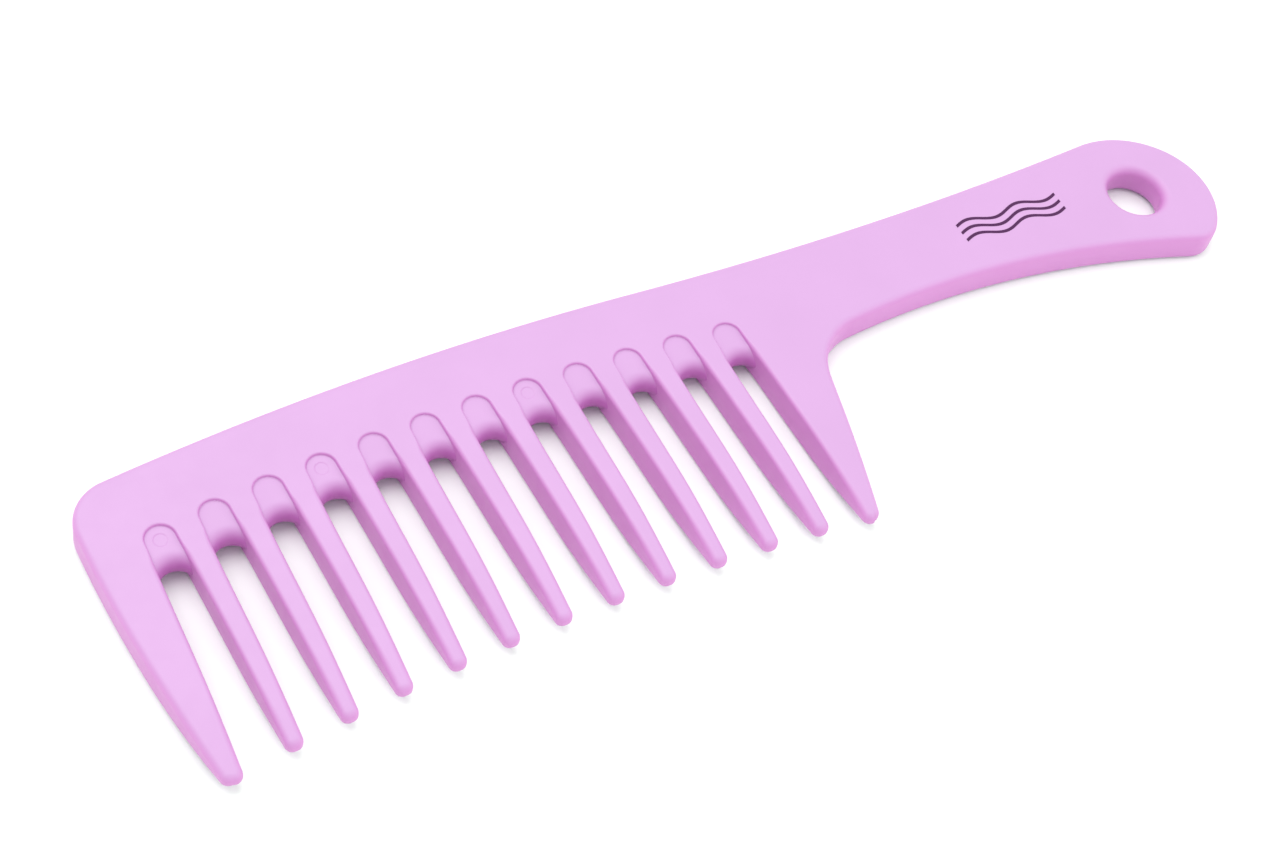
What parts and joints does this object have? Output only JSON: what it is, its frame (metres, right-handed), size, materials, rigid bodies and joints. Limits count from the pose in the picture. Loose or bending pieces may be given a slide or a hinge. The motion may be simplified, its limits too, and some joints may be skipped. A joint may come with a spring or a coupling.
{
  "type": "wide tooth comb",
  "caption": "Flat wide tooth comb: a bowed spine with rounded spaced teeth between two broad guard teeth, and a hollow-backed handle with a hang hole.",
  "frame": {"origin": "on the axis of the hang hole, midway between the two faces", "axes": "+X from the teeth towards the rounded end of the handle, +Y from the teeth towards the back, +Z out of the upper face; the comb lies on its -Z face"},
  "size_m": [0.2113, 0.0566, 0.006],
  "materials": {
    "lilac_plastic": "satin",
    "mark_ink": "matte"
  },
  "bodies": {
    "root": {"spine": "lilac_plastic", "webs": "lilac_plastic", "handle": "lilac_plastic", "head_end_guard_tooth": "lilac_plastic", "handle_end_guard_tooth": "lilac_plastic", "tooth_01": "lilac_plastic", "tooth_02": "lilac_plastic", "tooth_03": "lilac_plastic", "tooth_04": "lilac_plastic", "tooth_05": "lilac_plastic", "tooth_06": "lilac_plastic", "tooth_07": "lilac_plastic", "tooth_08": "lilac_plastic", "tooth_09": "lilac_plastic", "tooth_10": "lilac_plastic", "tooth_11": "lilac_plastic", "printed_mark": "mark_ink"}
  },
  "joints": []
}
